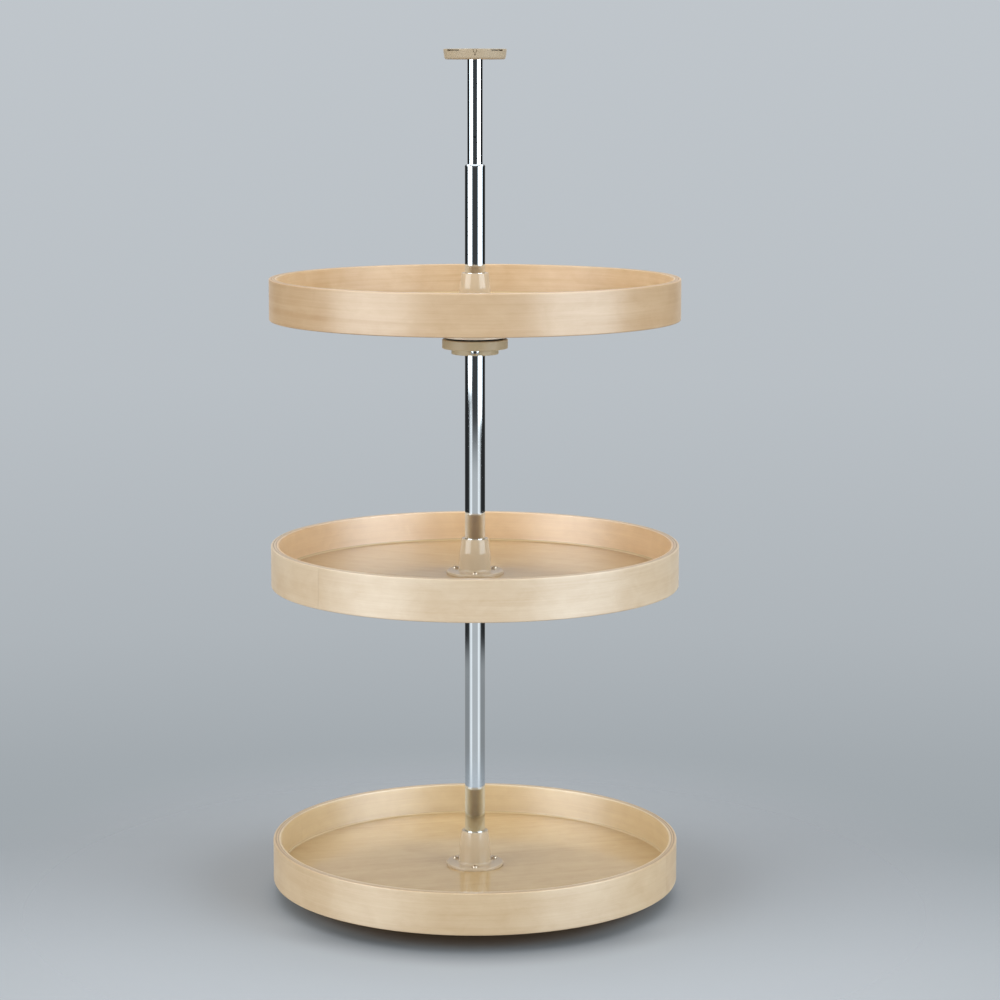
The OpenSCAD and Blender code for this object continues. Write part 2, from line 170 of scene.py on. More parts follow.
class PANTRY_PG_studio(bpy.types.PropertyGroup):
    """The photograph's studio."""
    box_strength: brightness("Soft boxes", "Brightness of the two side soft boxes", 5.5)
    left_box: colour("Left box", "Tint of the soft box on the left", (0.91, 0.97, 0.99))
    right_box: colour("Right box", "Tint of the soft box on the right", (0.83, 0.93, 1.0))
    top_strength: brightness("Back light", "Brightness of the light over the back", 2.0)
    front_strength: brightness("Front light", "Brightness of the light over the front", 1.75)
    backdrop_high: colour("Backdrop, high", "Backdrop above the eye", (0.527, 0.565, 0.601))
    backdrop_low: colour("Backdrop, low", "Backdrop at the floor's bend", (0.352, 0.386, 0.412))
    floor: colour("Floor", "Pale paper floor", (0.350, 0.367, 0.387))


# ---------------------------------------------------------------- surfaces

def arc(r, z, radius, start, end, steps):
    """Points of a circle about (r, z), from one angle to another in degrees."""
    a = np.radians(np.linspace(start, end, steps + 1))
    return np.stack([r + radius * np.cos(a), z + radius * np.sin(a)], axis=1)


def outline(*parts):
    """Joins points and arcs into one closed outline of (r, z), running outwards, up, inwards
    and down. A straight side that is long enough also gets a point close to each end, so
    that smooth shading stays level along it."""
    hold = 0.15 * MM
    p = np.concatenate(parts)
    p = p[np.linalg.norm(np.roll(p, -1, axis=0) - p, axis=1) > 1e-7]
    side = np.roll(p, -1, axis=0) - p
    run = np.linalg.norm(side, axis=1)
    share = np.stack([np.zeros_like(run), hold / run, 1 - hold / run], axis=1)
    wide = run > 4 * hold
    use = np.stack([np.ones_like(wide), wide, wide], axis=1)
    return (p[:, None] + share[..., None] * side[:, None])[use]


def grid_faces(rows, columns, rows_meet, columns_meet):
    """Four-sided faces of a grid whose point (i, j) has the number i * columns + j. The
    normal is the row direction crossed with the column direction."""
    i = np.arange(rows if rows_meet else rows - 1)[:, None]
    j = np.arange(columns if columns_meet else columns - 1)[None, :]
    i2, j2 = (i + 1) % rows, (j + 1) % columns
    corners = [i * columns + j, i2 * columns + j, i2 * columns + j2, i * columns + j2]
    return np.stack(corners, axis=-1).reshape(-1, 4)


def new_piece(name, points, faces, material, weld=False):
    """Puts points and a list of face arrays, each of one number of corners, into a new mesh
    object. Weld joins points that stand in the same place."""
    if weld:
        _, first, same = np.unique(np.round(points * 1e6), axis=0, return_index=True,
                                   return_inverse=True)
        points, faces = points[first], [same.ravel()[f] for f in faces]
    me = bpy.data.meshes.new(name)
    corners = np.concatenate([f.ravel() for f in faces]).astype(np.int32)
    sizes = np.concatenate([np.full(len(f), f.shape[1]) for f in faces])
    starts = np.concatenate([[0], np.cumsum(sizes)[:-1]]).astype(np.int32)
    me.vertices.add(len(points))
    me.vertices.foreach_set("co", points.astype(np.float32).ravel())
    me.loops.add(len(corners))
    me.loops.foreach_set("vertex_index", corners)
    me.polygons.add(len(sizes))
    me.polygons.foreach_set("loop_start", starts)
    me.update(calc_edges=True)
    me.shade_smooth()
    me.set_sharp_from_angle(angle=CREASE)
    me.materials.append(material)
    piece = bpy.data.objects.new(name, me)
    bpy.context.scene.collection.objects.link(piece)
    return piece


def lathe(name, profile, material, steps, start=0.0, sweep=2 * pi):
    """Surface of revolution: the profile's point (r, z) at angle a stands at
    (r cos a, r sin a, z). A sweep short of a full turn is closed by a flat face at each
    end. Returns the piece and the arrays of its angles and profile, one value a point."""
    whole = sweep > 2 * pi - 1e-9
    rows = steps if whole else steps + 1
    count = len(profile)
    a = np.repeat(start + sweep * np.arange(rows) / steps, count)
    r, z = np.tile(profile, (rows, 1)).T
    faces = [grid_faces(rows, count, whole, True)]
    if not whole:
        cap = np.arange(count)
        faces.append(np.stack([cap, (rows - 1) * count + cap[::-1]]))
    piece = new_piece(name, np.stack([r * np.cos(a), r * np.sin(a), z], axis=1), faces, material)
    return piece, a, r, z


def drilled_tube(name, radius, bore, low, top, hole, height, material):
    """Tube with a round hole in its front. Both walls are grids of angle and height with a
    square window at the hole. A sleeve fills the window: its rows run from the outer
    window's edge in to the circle, through the wall and out to the inner window's edge. A
    row of its flat part that has gone the share k of the way in stands, in column j, at
    (1 - k) square(j) + k circle(j)."""
    steps, span, hold = 192, 16, 0.3 * MM
    first = steps * 3 // 4 - span // 2
    turn = 2 * pi / steps
    half = span / 2 * turn * radius
    window = np.linspace(height - half, height + half, span + 1)
    levels = np.concatenate([[low, low + hold], window, [top - hold, top]])
    count = len(levels)
    a = turn * np.arange(steps)[:, None]
    rings = [np.stack(np.broadcast_arrays(r * np.cos(a), r * np.sin(a), z), axis=-1)
             for r, z in ((radius, levels), (bore, levels[::-1]))]
    points = np.concatenate(rings, axis=1).reshape(-1, 3)
    faces = grid_faces(steps, 2 * count, True, True)
    i, j = faces[:, 0] // (2 * count), faces[:, 0] % (2 * count)
    j = np.minimum(j, 2 * count - 2 - j)
    faces = faces[(i < first) | (i >= first + span) | (j < 2) | (j > 1 + span) | (j == count - 1)]
    side = np.arange(span)
    ends = np.zeros(span, int)
    column = np.concatenate([side, ends + span, span - side, ends])
    row = np.concatenate([ends, side, ends + span, span - side])
    square = np.stack([(column - span / 2) * turn * radius, (row - span / 2) * turn * radius], 1)
    circle = hole * square / np.linalg.norm(square, axis=1, keepdims=True)
    share = np.array([0.0, 0.35, 0.7, 0.93, 1.0])[:, None, None]
    flat = (1 - share) * square + share * circle
    wall = np.repeat([radius, bore], len(share))[:, None]
    flat = np.concatenate([flat, flat[::-1]])
    b = flat[..., 0] / radius + turn * (first + span / 2)
    sleeve = np.stack([wall * np.cos(b), wall * np.sin(b), flat[..., 1] + height], axis=-1)
    more = grid_faces(len(flat), len(column), False, True) + len(points)
    return new_piece(name, np.concatenate([points, sleeve.reshape(-1, 3)]), [faces, more[:, ::-1]],
                     material, weld=True)


def spindle(name, r, z, ends, tilt, centre, material):
    """Solid about its own axis: at angle a the point j of its outline stands at
    (r cos a, r sin a, z), where r has a row for each angle. The outline begins and ends on
    the axis, at the two heights in ends. The rows of tilt are the directions in which the
    axes x, y and z then point, from the centre."""
    steps, count = r.shape
    a = 2 * pi * np.arange(steps)[:, None] / steps
    rings = np.stack(np.broadcast_arrays(r * np.cos(a), r * np.sin(a), z), axis=-1)
    points = np.concatenate([[[0, 0, ends[0]]], rings.reshape(-1, 3), [[0, 0, ends[1]]]])
    i = np.arange(steps)
    low = 1 + i * count
    low2 = 1 + (i + 1) % steps * count
    first = np.stack([0 * i, low2, low], axis=1)
    last = np.stack([low + count - 1, low2 + count - 1, 0 * i + len(points) - 1], axis=1)
    faces = [grid_faces(steps, count, True, False) + 1, first, last]
    return new_piece(name, points @ np.array(tilt) + centre, faces, material)


def set_edge(piece, values):
    """Writes where the wood has a dark glue line (1) or the pale bead of glue (-1),
    whose paleness is partly a painted highlight.
    """
    attribute = piece.data.attributes.new("edge", "FLOAT", "POINT")
    attribute.data.foreach_set("value", values.astype(np.float32))


def set_grain(piece, along, across, depth):
    """Writes the wood's own coordinates, in metres along, across and through the veneer."""
    values = np.stack([along, across, depth], axis=1).astype(np.float32)
    attribute = piece.data.attributes.new("grain", "FLOAT_VECTOR", "POINT")
    attribute.data.foreach_set("vector", values.ravel())


def seat(piece, body, slot, *nodes):
    """The piece rides on the body and stands for the nodes. The slot is not used."""
    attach(piece, body)
    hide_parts(*nodes)


def repaint(name, material):
    """Gives a packed node, whose shape is kept, a finish."""
    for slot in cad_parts[name].material_slots:
        slot.material = material


def floor_level(tray):
    """Height of a rim's lower edge, from the packed model."""
    return float(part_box(tray + "_outer_ply")[0][2])


# ---------------------------------------------------------------- finishes

LATE_WOOD = (0.86, 0.79, 0.70)      # the tan bands, as shares of the base colour
EARLY_WOOD = (1.10, 1.15, 1.22)     # the pale bands
FIBRE_RELIEF = 0.04 * MM
BENT_RELIEF, FLAT_RELIEF = 0.5 * MM, 0.2 * MM       # the patches of a ply and of a floor

# Each birch: how strong its bands are, the specular level, the weight and the roughness of
# its coat of lacquer, and the refractive indices of the wood and of the coat.
BIRCHES = {
    "bottom outer birch": (0.60, 0.9, 0.25, 0.28, 1.60, 1.5),
    "bottom inner birch": (0.60, 1.0, 0.90, 0.48, 1.75, 2.0),
    "bottom floor birch": (0.55, 0.5, 0.75, 0.12, 1.60, 1.5),
    "middle outer birch": (0.55, 0.9, 0.25, 0.28, 1.60, 1.5),
    "middle inner birch": (0.55, 1.0, 1.00, 0.52, 1.75, 2.0),
    "middle floor birch": (0.55, 0.5, 0.75, 0.12, 1.60, 1.5),
    "top outer birch": (0.90, 0.9, 0.25, 0.28, 1.60, 1.5),
    "top inner birch": (0.90, 0.6, 0.10, 0.30, 1.60, 1.5),
    "top floor birch": (0.55, 0.5, 0.75, 0.12, 1.60, 1.5),
}

# Each plastic: its roughness, the ripples of its skin in a metre, the specular level and
# the weight of a polished coat.
MOULDINGS = {
    "hub plastic": (0.20, 260.0, 0.28, 0.40),
    "plate plastic": (0.24, 260.0, 0.32, 0.0),
    "race plastic": (0.16, 300.0, 0.50, 0.0),
    "disc plastic": (0.36, 420.0, 0.35, 0.0),
    "black plastic": (0.60, 500.0, 0.06, 0.0),
}

# Each metal: its roughness, the ripples of its plating in a metre and their strength.
PLATINGS = {
    "chrome plate": (0.035, 90.0, 0.05),
    "brass plate": (0.36, 500.0, 0.20),
    "zinc plate": (0.24, 700.0, 0.25),
}


def add(tree, kind, inputs=None, **settings):
    """Adds a shader node. An input that is a socket is linked, and any other is set."""
    made = tree.nodes.new("ShaderNode" + kind)
    for key, value in settings.items():
        setattr(made, key, value)
    for key, value in (inputs or {}).items():
        if isinstance(value, bpy.types.NodeSocket):
            tree.links.new(value, made.inputs[key])
        else:
            made.inputs[key].default_value = value
    return made


def maths(tree, operation, *values):
    """A Math node's result."""
    return add(tree, "Math", dict(enumerate(values)), operation=operation).outputs[0]


def scaled(tree, vector, along, across, depth):
    """A vector whose parts are multiplied by three numbers, for stretched noise."""
    return add(tree, "VectorMath", {0: vector, 1: (along, across, depth)},
               operation="MULTIPLY").outputs[0]


def noise(tree, vector, detail, roughness=0.5, distortion=0.0):
    """The value of a Noise texture of scale 1."""
    return add(tree, "TexNoise", {"Vector": vector, "Scale": 1.0, "Detail": detail,
                                  "Roughness": roughness, "Distortion": distortion}).outputs[0]


def between(tree, value, start, end, smooth=True):
    """0 at start and before it, 1 at end and beyond it, with a smooth or an even change
    between them. Start may be the greater of the two."""
    kind = "SMOOTHSTEP" if smooth else "LINEAR"
    return add(tree, "MapRange", {"Value": value, "From Min": start, "From Max": end},
               interpolation_type=kind).outputs[0]


def blend(tree, factor, first, second):
    """A colour between two others."""
    return add(tree, "Mix", {0: factor, 6: first, 7: second}, data_type="RGBA").outputs[2]


def new_group(name, inputs, outputs):
    """An empty node group with named sockets: its tree, and its input and output nodes."""
    tree = bpy.data.node_groups.new(name, "ShaderNodeTree")
    for socket, kind, value in inputs:
        made = tree.interface.new_socket(socket, in_out="INPUT", socket_type="NodeSocket" + kind)
        if value is not None:
            made.default_value = value
    for socket, kind in outputs:
        tree.interface.new_socket(socket, in_out="OUTPUT", socket_type="NodeSocket" + kind)
    return tree, tree.nodes.new("NodeGroupInput"), tree.nodes.new("NodeGroupOutput")


def birch_figure():
    """Node group of birch veneer, read along, across and through the sheet in metres.
    Tone is the colour's place between tan and pale: long soft bands, a cloudy drift, a
    mottle of small patches and fine fibres. Fibre is the relief of the pores and Mottle
    that of the patches, where the grain dips. Fleck marks the few dark specks."""
    name = "birch figure"
    if name in bpy.data.node_groups:
        return bpy.data.node_groups[name]
    tree, enter, leave = new_group(
        name,
        [("Vector", "Vector", None), ("Bands", "Float", 0.5), ("Clouds", "Float", 0.4),
         ("Patches", "Float", 0.4), ("Fibres", "Float", 0.3), ("Flecks", "Float", 0.5)],
        [("Tone", "Float"), ("Fibre", "Float"), ("Mottle", "Float"), ("Fleck", "Float")])
    grain = enter.outputs["Vector"]

    def streaks(along, across, *look):
        """Noise with so many swings in a metre along the grain and across it. Its look is
        the detail, the roughness and the distortion."""
        return noise(tree, scaled(tree, grain, along, across, across), *look)

    bands = streaks(2.2, 95, 3.0, 0.55, 0.9)
    clouds = streaks(5.5, 16, 2.0, 0.5, 0.4)
    patches = streaks(34, 46, 3.0, 0.55, 0.6)
    lines = streaks(14, 620, 2.0, 0.6, 0.2)
    fibres = streaks(60, 2600, 1.0, 0.5)
    pores = between(tree, streaks(130, 3000, 0.0), 0.62, 0.74)
    tone = 0.5
    for value, socket in ((bands, "Bands"), (clouds, "Clouds"), (patches, "Patches"),
                          (lines, "Fibres")):
        swing = maths(tree, "MULTIPLY", maths(tree, "SUBTRACT", value, 0.5), enter.outputs[socket])
        tone = maths(tree, "ADD", swing, tone)
    tone = maths(tree, "SUBTRACT", tone, maths(tree, "MULTIPLY", pores, 0.10))
    relief = maths(tree, "ADD", maths(tree, "MULTIPLY", fibres, 0.5),
                   maths(tree, "MULTIPLY", lines, 0.5))
    spots = add(tree, "TexVoronoi", {"Vector": scaled(tree, grain, 42, 150, 150), "Scale": 1.0,
                                     "Randomness": 1.0})
    chance = add(tree, "SeparateColor", {"Color": spots.outputs["Color"]}).outputs[0]
    ragged = maths(tree, "ADD", spots.outputs["Distance"], maths(tree, "MULTIPLY", lines, 0.35))
    fleck = maths(tree, "MULTIPLY", between(tree, chance, 0.990, 0.997),
                  between(tree, ragged, 0.40, 0.24))
    fleck = maths(tree, "MULTIPLY", fleck, enter.outputs["Flecks"])
    for socket, value in (("Tone", tone), ("Fibre", relief), ("Mottle", patches),
                          ("Fleck", fleck)):
        tree.links.new(value, leave.inputs[socket])
    return tree


def surface_play():
    """Node group for mouldings and metal, read in metres. Drift is a slow cloudy change,
    Peel the soft ripple of a moulded or plated skin, and Scuff a few fine scratches."""
    name = "surface play"
    if name in bpy.data.node_groups:
        return bpy.data.node_groups[name]
    tree, enter, leave = new_group(
        name, [("Vector", "Vector", None), ("Ripple", "Float", 300.0)],
        [("Drift", "Float"), ("Peel", "Float"), ("Scuff", "Float")])
    where = enter.outputs["Vector"]
    ripple = add(tree, "VectorMath", {0: where, "Scale": enter.outputs["Ripple"]},
                 operation="SCALE").outputs[0]
    drift = noise(tree, scaled(tree, where, 40, 40, 40), 1.5)
    peel = noise(tree, ripple, 1.0)
    scratches = noise(tree, scaled(tree, where, 420, 420, 60), 2.0, 0.6, 1.5)
    scuff = between(tree, scratches, 0.60, 0.72)
    for socket, value in (("Drift", drift), ("Peel", peel), ("Scuff", scuff)):
        tree.links.new(value, leave.inputs[socket])
    return tree


def new_material(name):
    """A material with an empty Principled shader: the material, its tree and the shader."""
    material = bpy.data.materials.new(name)
    material.use_nodes = True
    tree = material.node_tree
    return material, tree, tree.nodes["Principled BSDF"]


def placed(tree, group, **inputs):
    """The outputs of a node group set in a material with its own values."""
    return add(tree, "Group", inputs, node_tree=group).outputs


def settle(shader, values):
    """Sets what is the same all over the surface on the shader's own sockets."""
    for socket, value in values.items():
        shader.inputs[socket].default_value = value


def dressed(tree, shader, colour_out, roughness_out, height, strength, distance):
    """Feeds colour, roughness and a bump to the shader."""
    tree.links.new(colour_out, shader.inputs["Base Color"])
    tree.links.new(roughness_out, shader.inputs["Roughness"])
    bump = add(tree, "Bump", {"Height": height, "Strength": strength, "Distance": distance})
    tree.links.new(bump.outputs["Normal"], shader.inputs["Normal"])


def birch(name, base, bands, gloss, coat, coat_rough, index, coat_index):
    """Clear lacquered birch. The figure's tone runs from a tan late wood to a pale early
    wood about the base colour, with dark flecks, dark glue lines and the pale bead,
    whose paleness is partly a painted highlight. The fibres and the patches show as a
    faint relief, which breaks up the sheen. A coat of lacquer lies over them. A bent
    ply's sheen is stretched one way."""
    material, tree, shader = new_material(name)
    bent = "floor" not in name
    relief = BENT_RELIEF if bent else FLAT_RELIEF
    grain = add(tree, "Attribute", attribute_name="grain").outputs["Vector"]
    figure = placed(tree, birch_figure(), Vector=grain, Bands=bands, Clouds=0.45,
                    Patches=0.60, Fibres=0.40, Flecks=0.80)
    base = np.array(base)
    tan, pale = base * LATE_WOOD, np.minimum(base * EARLY_WOOD, 1)
    wood = blend(tree, between(tree, figure["Tone"], 0.15, 0.85, False), (*tan, 1), (*pale, 1))
    finish = bpy.context.scene.pantry_finish
    wood = blend(tree, figure["Fleck"], wood, (*finish.fleck, 1))
    edge = add(tree, "Attribute", attribute_name="edge").outputs["Fac"]
    glue = maths(tree, "MULTIPLY", between(tree, edge, 0.0, 0.8), 0.8)
    wood = blend(tree, glue, wood, (*finish.glue, 1))
    # The bead's pale colour is partly glue and partly a painted highlight along the joint.
    wood = blend(tree, between(tree, edge, 0.0, -0.8), wood, (*finish.bead, 1))
    roughness = add(tree, "MapRange", {"Value": figure["Fibre"], "To Min": 0.40,
                                       "To Max": 0.50}).outputs[0]
    height = maths(tree, "MULTIPLY_ADD", figure["Fibre"], FIBRE_RELIEF / relief, figure["Mottle"])
    dressed(tree, shader, wood, roughness, height, 0.5, relief)
    settle(shader, {"Specular IOR Level": gloss, "IOR": index, "Coat Weight": coat,
                    "Coat Roughness": coat_rough, "Coat IOR": coat_index})
    if bent:
        settle(shader, {"Anisotropic": 0.65, "Anisotropic Rotation": 0.25})
    return material


def skin(name, base, pale, rough, scuffed, ripple, strength, relief):
    """A smooth surface: its colour drifts from 0.96 to pale times the base, fine scuffs make
    it rougher, and a faint ripple bends its reflections. The material and the shader."""
    material, tree, shader = new_material(name)
    where = add(tree, "TexCoord").outputs["Object"]
    play = placed(tree, surface_play(), Vector=where, Ripple=ripple)
    base = np.array(base)
    tint = blend(tree, play["Drift"], (*(base * 0.96), 1), (*np.minimum(base * pale, 1), 1))
    roughness = maths(tree, "ADD", maths(tree, "MULTIPLY", play["Scuff"], scuffed), rough)
    dressed(tree, shader, tint, roughness, play["Peel"], strength, relief)
    return material, shader


def moulding(name, base, rough, ripple, gloss, coat):
    """Moulded plastic. A coat gives it a polished skin over the softer sheen."""
    material, shader = skin(name, base, 1.04, rough, 0.05, ripple, 0.12, 0.04 * MM)
    settle(shader, {"Specular IOR Level": gloss, "Coat Weight": coat, "Coat Roughness": 0.06})
    return material


def plated(name, tint, rough, ripple, strength):
    """Plated metal: clean and bright, with hairline scuffs and a trace of waviness."""
    material, shader = skin(name, tint, 1.03, rough, 0.02, ripple, strength, 0.03 * MM)
    settle(shader, {"Metallic": 1.0})
    return material


def finish_of(name):
    """The named finish, made when it is first asked for. Its colour is the property that
    the words before the last one name."""
    made = bpy.data.materials.get(name)
    if made:
        return made
    for table, make in ((BIRCHES, birch), (MOULDINGS, moulding), (PLATINGS, plated)):
        if name in table:
            base = getattr(bpy.context.scene.pantry_finish, "_".join(name.split()[:-1]))
            return make(name, base, *table[name])
    raise ValueError("there is no finish named " + name)


# ---------------------------------------------------------------- operators

class PANTRY_OT_stage(bpy.types.Operator):
    """Sets up the pale floor, the soft boxes, the grey backdrop and the camera"""
    bl_idname = "pantry.stage"
    bl_label = "Studio"

    def execute(self, context):
        studio = context.scene.pantry_studio
        self.light(studio)
        self.floor(studio)
        self.camera(context.scene)
        context.scene.view_settings.view_transform = "Standard"
        return {"FINISHED"}

    def light(self, studio):
        """The light by direction. turn is the angle away from the camera and rise the angle
        above the horizon, in degrees. Two tall soft boxes stand at the sides, with a smaller
        light high up behind each. One light hangs over the back, one over the front, and a
        weak one shines from above the camera. The backdrop glows behind, the paper below
        gives some light back, and the room is dark between them. The camera itself sees
        only the backdrop, which is darkest at the paper's bend."""
        world = bpy.data.worlds.new("studio")
        world.use_nodes = True
        tree = world.node_tree
        tree.nodes.clear()
        way = add(tree, "TexCoord").outputs["Generated"]
        x, y, z = add(tree, "SeparateXYZ", {0: way}).outputs
        turn = maths(tree, "ARCTAN2", x, maths(tree, "MULTIPLY", y, -1.0))
        turn = maths(tree, "DEGREES", maths(tree, "ABSOLUTE", turn))
        rise = maths(tree, "DEGREES", maths(tree, "ARCSINE", z))
        right = maths(tree, "GREATER_THAN", x, 0.0)

        def zone(*edges):
            """Product of smooth steps: each edge is (angle, from, to)."""
            product = 1.0
            for angle, start, end in edges:
                product = maths(tree, "MULTIPLY", between(tree, angle, start, end), product)
            return product

        def lay(shade, *rows):
            """Lays zones over a shade one after the other. A row is a brightness and the
            edges of its zone."""
            for brightness, *edges in rows:
                shade = add(tree, "Mix", {0: zone(*edges), 2: shade, 3: brightness}).outputs[0]
            return shade

        # Below: the paper, dark near the horizon at the sides and dim under that, bright on
        # both hands of the camera, plainer at the back, and dark just under the camera.
        paper = lay(
            0.50,
            (0.025, (turn, 60.0, 75.0), (rise, -12.8, -11.6)),
            (0.28, (turn, 60.0, 75.0), (rise, -11.6, -12.8)),
            (0.92, (turn, 28.0, 36.0), (turn, 62.0, 50.0), (rise, -24.0, -17.0)),
            (0.40, (turn, 150.0, 158.0)),
            (0.05, (turn, 34.0, 26.0), (rise, -8.4, -7.0)))
        # Above: the dark room, its darker back and the backdrop. Then the paper, the lights
        # high up behind the soft boxes, the weak one above the camera, and those over the
        # back and the front.
        room = lay(
            0.050,
            (0.022, (turn, 60.0, 100.0)),
            (0.55, (turn, 148.0, 158.0), (rise, 48.0, 36.0)),
            (paper, (rise, -6.4, -7.2)),
            (1.7, (turn, 70.0, 88.0), (turn, 150.0, 132.0), (rise, 26.0, 36.0)),
            (0.42, (turn, 34.0, 24.0), (rise, 6.0, 12.0), (rise, 42.0, 32.0)),
            (studio.top_strength, (turn, 100.0, 125.0), (rise, 40.0, 52.0)),
            (studio.front_strength, (turn, 125.0, 100.0), (rise, 50.0, 58.0)))
        # The box on the right reaches a little further down and further round to the back.
        above_foot = maths(tree, "SUBTRACT", rise, maths(tree, "MULTIPLY_ADD", right, -0.6, -6.3))
        before_edge = maths(tree, "SUBTRACT", maths(tree, "MULTIPLY_ADD", right, 3.0, 82.5), turn)
        box = zone((turn, 34.0, 37.0), (before_edge, -2.0, 2.0), (above_foot, -0.5, 0.5),
                   (rise, 42.0, 35.0))
        light = add(tree, "Mix", {0: box, 2: room, 3: studio.box_strength}).outputs[0]
        tint = blend(tree, right, (*studio.left_box, 1), (*studio.right_box, 1))
        tint = blend(tree, box, (1.0, 1.0, 1.0, 1.0), tint)
        lit = add(tree, "Background", {"Color": tint, "Strength": light})

        ramp = add(tree, "ValToRGB", {0: between(tree, rise, -20.0, 5.0, False)})
        stops = ramp.color_ramp.elements
        low, high = np.array(studio.backdrop_low), np.array(studio.backdrop_high)
        stops[0].position, stops[0].color = 0.03, (*(high * 0.97), 1)
        stops[1].position, stops[1].color = 0.90, (*high, 1)
        for place, share in ((0.08, 0.66), (0.17, 0.0), (0.24, 0.10), (0.34, 0.42), (0.55, 0.78)):
            stops.new(place).color = (*(low + (high - low) * share), 1)
        seen = add(tree, "Background", {"Color": ramp.outputs[0], "Strength": 1.0})

        direct = add(tree, "LightPath").outputs["Is Camera Ray"]
        mix = add(tree, "MixShader", {0: direct, 1: lit.outputs[0], 2: seen.outputs[0]})
        out = add(tree, "OutputWorld", {"Surface": mix.outputs[0]})
        out.is_active_output = True
        bpy.context.scene.world = world

    def floor(self, studio):
        """A flat ring of paper: circles about the pole at radii that grow outwards from
        just under the floor plate's edge, so that light reaches the plate's underside. It
        fades out at its edge, and from below it isn't seen. Its colour holds painted shade:
        it grows darker towards the back, a painted shadow darkens it just in front of the
        bottom tray, and under the tray a browner painted shadow carries painted light
        thrown back by the wood."""
        circles, steps, inside, outside = 24, 96, 0.053, 1.2
        a = 2 * pi * np.arange(steps) / steps
        radius = np.linspace(inside, outside, circles)[:, None]
        points = np.stack(np.broadcast_arrays(radius * np.cos(a), radius * np.sin(a), 0.0),
                          axis=-1).reshape(-1, 3)
        quads = grid_faces(circles, steps, False, True)
        material, tree, shader = new_material("paper floor")

        def shade_of(*shares):
            """The paper's colour times one number, or times one for each part."""
            return (*(np.array(studio.floor) * shares), 1)

        where = add(tree, "TexCoord").outputs["Object"]
        reach = add(tree, "VectorMath", {0: where}, operation="LENGTH").outputs["Value"]
        depth = add(tree, "SeparateXYZ", {0: where}).outputs[1]
        cloud = noise(tree, scaled(tree, where, 2.5, 2.5, 2.5), 2.0)
        cloud = maths(tree, "MULTIPLY", maths(tree, "SUBTRACT", cloud, 0.5), 0.08)
        # Painted shade: darker towards the back (with a faint random cloud), a painted shadow in
        # front of the bottom tray, and a browner painted shadow under it.
        painted_falloff_and_cloud = maths(tree, "ADD", between(tree, depth, -0.50, 0.16), cloud)
        before = maths(tree, "MULTIPLY", between(tree, reach, 0.315, 0.245),
                       between(tree, depth, -0.13, -0.21))
        under = between(tree, reach, 0.245, 0.190)
        shade = blend(tree, painted_falloff_and_cloud, shade_of(1.12), shade_of(0.82))
        shade = blend(tree, before, shade, shade_of(0.66))
        shade = blend(tree, under, shade, shade_of(0.80, 0.56, 0.38))
        tree.links.new(shade, shader.inputs["Base Color"])
        settle(shader, {"Roughness": 0.9, "Specular IOR Level": 0.15})
        back = add(tree, "NewGeometry").outputs["Backfacing"]
        gone = maths(tree, "MAXIMUM", between(tree, reach, 0.32, 0.80), back)
        clear = add(tree, "BsdfTransparent")
        mix = add(tree, "MixShader", {0: gone, 1: shader.outputs[0], 2: clear.outputs[0]})
        tree.links.new(mix.outputs[0], tree.nodes["Material Output"].inputs["Surface"])
        floor = new_piece("paper_floor", points, [quads], material)

    def camera(self, scene):
        """The photograph's view: 3.4 m in front, a little above the top tray, looking
        slightly down through a short telephoto."""
        data = bpy.data.cameras.new("camera")
        data.lens = 98.49
        data.sensor_width = 36.0
        data.shift_x = 0.0250
        data.shift_y = -0.1025
        camera = bpy.data.objects.new("camera", data)
        looking_down = 0.1164
        camera.location = (0.0, -3.3708, 1.0231)
        camera.rotation_euler = (pi / 2 - looking_down, 0.0, 0.0)
        scene.collection.objects.link(camera)
        scene.camera = camera


class PANTRY_OT_rims(bpy.types.Operator):
    """Bends the three plies of each tray's rim, with a butt joint in every ply"""
    bl_idname = "pantry.rims"
    bl_label = "Bent rims"

    def execute(self, context):
        s = context.scene.pantry_trays
        for number, tray in enumerate(TRAYS):
            z0 = floor_level(tray)
            angles = getattr(s, tray + "_joints")
            for k, ply in enumerate(PLIES):
                inner = s.radius - (3 - k) * s.ply
                profile = self.profile(s, inner, z0, k)
                half_gap = s.joint_gap / 2 / (inner + s.ply / 2)
                name = f"{tray}_{ply}_ply_bent"
                wood = finish_of(tray + (" inner birch" if k == 0 else " outer birch"))
                piece, a, r, z = lathe(name, profile, wood, 320,
                                       angles[k] + half_gap, 2 * pi - 2 * half_gap)
                # Every ply is cut from its own place in the veneer.
                set_grain(piece, (a - angles[k]) * inner + 3.1 * number + 0.9 * k,
                          z - z0 + 0.37 * number, r - inner + 0.05 * k)
                near = 1.1 * s.glue_line
                end = np.minimum(z - z0, z0 + s.rim_height - z) < near
                glued = (r - inner < near) * (k > 0) + (inner + s.ply - r < near) * (k < 2)
                set_edge(piece, end * glued)
                seat(piece, tray + "_shelf", "rim_wood", f"{tray}_{ply}_ply")
        return {"FINISHED"}

    def profile(self, s, inner, z0, k):
        """Cross-section of a ply: a tall thin strip. An edge that is free is a quarter
        circle of ten steps, and one at a glue line a small chamfer, an arc of one step."""
        outer = inner + s.ply
        top = z0 + s.rim_height
        free, glued = (s.edge, 10), (s.glue_line, 1)
        e1, n1 = free if k == 0 else glued
        e2, n2 = free if k == 2 else glued
        return outline(arc(inner + e1, z0 + e1, e1, 180, 270, n1),
                       arc(outer - e2, z0 + e2, e2, 270, 360, n2),
                       arc(outer - e2, top - e2, e2, 0, 90, n2),
                       arc(inner + e1, top - e1, e1, 90, 180, n1))


